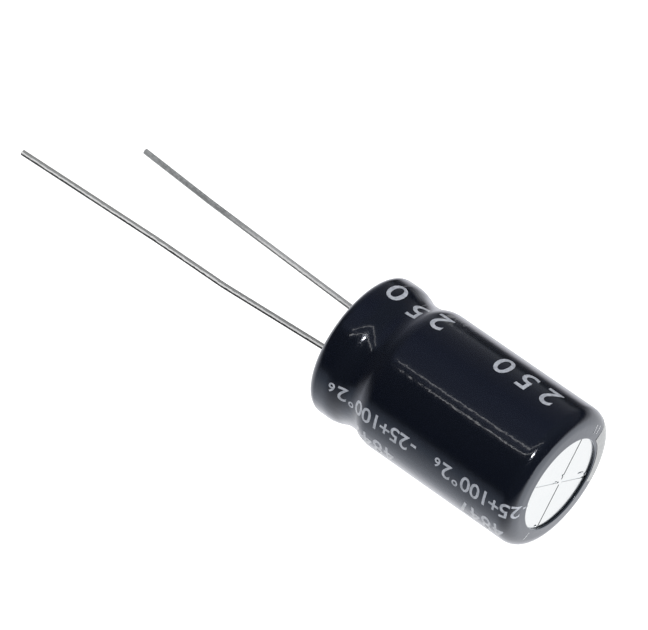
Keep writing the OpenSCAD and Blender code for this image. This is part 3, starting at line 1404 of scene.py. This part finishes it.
    def add_surroundings(self, tree: bpy.types.NodeTree) -> Link:
        """Adds the colours that the gloss mirrors: a bright sweep, a dark room and a dim window.

        Args:
            tree: The world's tree.

        Returns:
            The node and output socket that give the colour in each direction.
        """
        place = add_node(tree, "ShaderNodeTexCoord")
        towards, aside = (
            add_node(
                tree, "ShaderNodeVectorMath", settings={"operation": "DOT_PRODUCT"},
                inputs={1: axis}, links={0: (place, "Generated")},
            )
            for axis in self.level()
        )
        bearing = add_node(
            tree, "ShaderNodeMath", settings={"operation": "ARCTAN2"},
            links={0: (aside, "Value"), 1: (towards, "Value")},
        )
        share = add_node(
            tree, "ShaderNodeMapRange", inputs={"From Min": -math.pi, "From Max": math.pi},
            links={"Value": (bearing, "Value")},
        )
        height = add_node(tree, "ShaderNodeSeparateXYZ", links={"Vector": (place, "Generated")})
        rise = add_node(
            tree, "ShaderNodeMath", settings={"operation": "ARCSINE"}, links={0: (height, "Z")}
        )
        colour: Link = (self.rings[0].ramp(tree, (share, "Result")), "Color")
        for low, high in zip(self.rings, self.rings[1:]):
            part = add_node(
                tree, "ShaderNodeMapRange", settings={"interpolation_type": "SMOOTHSTEP"},
                inputs={"From Min": math.radians(low.rise), "From Max": math.radians(high.rise)},
                links={"Value": (rise, "Value")},
            )
            above = high.ramp(tree, (share, "Result"))
            mixed = add_node(
                tree, "ShaderNodeMix", settings={"data_type": "RGBA"},
                links={"Factor": (part, "Result"), MIX_A: colour, MIX_B: (above, "Color")},
            )
            colour = (mixed, MIX_RESULT)
        return colour

    def add_world(self) -> None:
        """White for the camera, plain light for dull surfaces and the surroundings for the gloss."""
        world = bpy.data.worlds.new("studio")
        world.use_nodes = True
        bpy.context.scene.world = world
        tree = world.node_tree
        tree.nodes.clear()
        colour = self.add_surroundings(tree)
        path = add_node(tree, "ShaderNodeLightPath")
        mirrored = add_node(tree, "ShaderNodeBackground", links={"Color": colour})
        plain, white = (
            add_node(tree, "ShaderNodeBackground", inputs={"Color": WHITE, "Strength": strength})
            for strength in (self.fill, 1.0)
        )
        soft = add_node(
            tree, "ShaderNodeMixShader",
            links={"Fac": (path, "Is Glossy Ray"), 1: (plain, "Background"), 2: (mirrored, "Background")},
        )
        seen = add_node(
            tree, "ShaderNodeMixShader",
            links={"Fac": (path, "Is Camera Ray"), 1: (soft, "Shader"), 2: (white, "Background")},
        )
        add_node(tree, "ShaderNodeOutputWorld", links={"Surface": (seen, "Shader")})

    def add_floor(self) -> None:
        """A white floor just below the leads, which keeps the part's shadow."""
        material, tree = new_material("white_sweep")
        path = add_node(tree, "ShaderNodeLightPath")
        glow = add_node(
            tree, "ShaderNodeMapRange", inputs={"To Max": self.floor_glow},
            links={"Value": (path, "Is Camera Ray")},
        )
        tone = self.floor_tone
        add_shader(
            tree,
            {
                "Base Color": (tone, tone, tone, 1.0), "Roughness": 1.0,
                "Specular IOR Level": 0.0, "Emission Color": WHITE,
            },
            {"Emission Strength": (glow, "Result")},
        )
        z, half = CAD_BOX[0].z / MM - self.floor_gap, self.floor_half
        signs = [(-1, -1), (1, -1), (1, 1), (-1, 1)]
        floor = add_sheet("floor", [Vector((half * x, half * y, z)) for x, y in signs], material)
        floor.visible_glossy = False

    def add_lamp(self, lamp: Lamp) -> None:
        """Hangs a lamp, which looks at the middle of the part.

        Args:
            lamp: The lamp.
        """
        right, up, back = self.axes()
        place = lamp.right * right + lamp.up * up + lamp.back * back
        data = bpy.data.lights.new(lamp.name, "AREA")
        data.shape = "SQUARE"
        data.size = lamp.size * MM
        data.energy = lamp.watts
        light = bpy.data.objects.new(lamp.name, data)
        light.location = place * MM
        aim = Vector((0, 0, self.aim_z / 2)) - place
        light.rotation_euler = aim.to_track_quat("-Z", "Y").to_euler()
        light.visible_glossy = False
        bpy.context.scene.collection.objects.link(light)

    def add_strip(self, strip: Strip) -> None:
        """Adds a lit band, which shows only in gloss that the eye sees and not in its mirror image.

        Args:
            strip: The band.
        """
        material, tree = new_material(strip.name)
        path = add_node(tree, "ShaderNodeLightPath")
        first = add_node(
            tree, "ShaderNodeMapRange", settings={"interpolation_type": "STEPPED"},
            inputs={
                "From Min": 1.0, "From Max": 2.0, "To Min": strip.strength, "To Max": 0.0, "Steps": 1.0,
            },
            links={"Value": (path, "Ray Depth")},
        )
        glow = add_node(tree, "ShaderNodeEmission", links={"Strength": (first, "Result")})
        add_node(tree, "ShaderNodeOutputMaterial", links={"Surface": (glow, "Emission")})
        middle = Vector((0, 0, self.strip_centre_z))
        a, b = (middle + self.strip_reach * self.direction(*end) for end in (strip.start, strip.end))
        side_a, side_b = ((b - a).cross(end - middle).normalized() * strip.width / 2 for end in (a, b))
        band = add_sheet(strip.name, [a - side_a, a + side_a, b + side_b, b - side_b], material)
        band.visible_camera = False
        band.visible_diffuse = False
        band.visible_shadow = False

    def build(self) -> None:
        """Makes everything that is not the part."""
        bpy.context.scene.view_settings.view_transform = "Standard"
        self.add_camera()
        self.add_world()
        self.add_floor()
        for lamp in self.lamps:
            self.add_lamp(lamp)
        for strip in self.strips:
            self.add_strip(strip)


def main() -> None:
    """Builds the part's looks and the studio in order."""
    logging.basicConfig(level=logging.INFO, format="%(name)s %(message)s")
    Studio().build()
    form = CanForm()
    sleeve = Sleeve(ShrinkFilm(), form)
    sleeve.dress()

    wrap = Wrap(SkinLine(sleeve.outer(), level_z=12.0), form.radius + sleeve.gap + sleeve.wall)
    ink = PrintInk("print_ink", "#c4c8d2", "#a1a6b0").make()
    rows = [
        FigureRow("value_figures", "250", 2.35, pitch=2.35, angle=257.4, start=6.54, stroke=0.02),
        FigureRow(
            "range_figures", "-25+100°26", 1.5, pitch=0.99, angle=353.8, start=11.1, stroke=0.02,
            small={9: 0.6},
        ),
        FigureRow(
            "lot_figures", "4847", 2.2, pitch=1.17, angle=20.4, start=8.75, stroke=0.03, squeeze=0.7
        ),
    ]
    for row in rows:
        row.dress(wrap, ink)
    edge_marks = BarRow("edge_marks", across=0.08, along=0.75)
    pale = PrintInk("pale_ink", "#f4f6f9", "#dcdfe4").make()
    edge_marks.dress(wrap, pale, [(225.3, 22.2), (218.6, 22.15), (42.8, 22.2)])
    PolarityStripe(
        wrap, PrintInk("stripe_ink", "#b1b4b5", "#9a9d9f"), PrintInk("mark_ink", "#14161d", "#1b1e27")
    ).dress()

    scored = Metal("scored_aluminium", "#f4f5f6", "#dfe1e3", 0.12, mark_mm=0.3, mark_height_mm=0.002)
    VentBurrs(scored, form.top_z, [
        Burr(3.0, 160, 0.95, 0.2, 155), Burr(3.85, 155, 0.3, 0.14, 200),
        Burr(0.74, 323, 0.14, 0.13, 0), Burr(0.65, 251, 0.2, 0.15, 60),
        Burr(4.15, 53, 0.25, 0.15, 20),
    ]).dress()

    # The negative wire's lanes: the white ones are painted highlights and the darker greys painted shade.
    # Below -11.5 mm they fade to plain tin.
    partly_plain_tin = TinnedWire(
        "partly_plain_tinned_wire", lanes_end_mm=-11.5, painted_light_lanes=(
            (0, "#6a6b6b"), (30, "#7c7d7d"), (60, "#a2a3a4"), (120, "#909192"), (150, "#e4e4e4"),
            (165, "#6a6b6b"), (219, "#b2b3b4"), (296, "#bcbdbe"), (306, "#ffffff"), (334, "#ffffff"),
            (344, "#727373"),
        ),
    )
    wires = [
        Wire(
            "positive_lead", "positive_wire", 1, bends=[(1.5, 3.9), (9.5, -3.2), (6.5, 1.5)],
            below=33.72, tin=TinnedWire(),
        ),
        Wire(
            "negative_lead", "negative_wire", -1, bends=[(3.0, 2.5), (16.0, 1.3)],
            below=26.8, tin=partly_plain_tin,
        ),
    ]
    for wire in wires:
        wire.dress()

    pressed = Metal("pressed_aluminium", "#d3d5d7", "#bfc2c5", 0.32, 0.2, 0.004, Grain.ALONG_Z)
    InnerPieces({
        "case": Metal("drawn_aluminium", "#fbfcfc", "#f3f5f6", 0.14, 0.6, 0.002),
        "seal": Fibrous("butyl_rubber", "#1c1c1d", "#262627", 0.62, 0.25, 0.01),
        "positive_tab": pressed,
        "negative_tab": pressed,
        "anode_foil": Metal("etched_foil", "#9a9c9e", "#85878a", 0.62, 0.08, 0.006),
        "cathode_foil": Metal("plain_foil", "#c6c8ca", "#b0b3b6", 0.4, 0.1, 0.004, Grain.ROUND_Z),
        "inner_paper": Fibrous("kraft_paper", "#dccfa8", "#c9ba90", 0.85, 0.12, 0.008),
        "outer_paper": Fibrous("kraft_paper", "#e0d4b0", "#ccbe97", 0.85, 0.12, 0.008),
        "element_tape": Fibrous("polyester_tape", "#d8c98a", "#cbbb79", 0.3, 0.5, 0.003),
    }).dress()


if __name__ == "__main__":
    main()
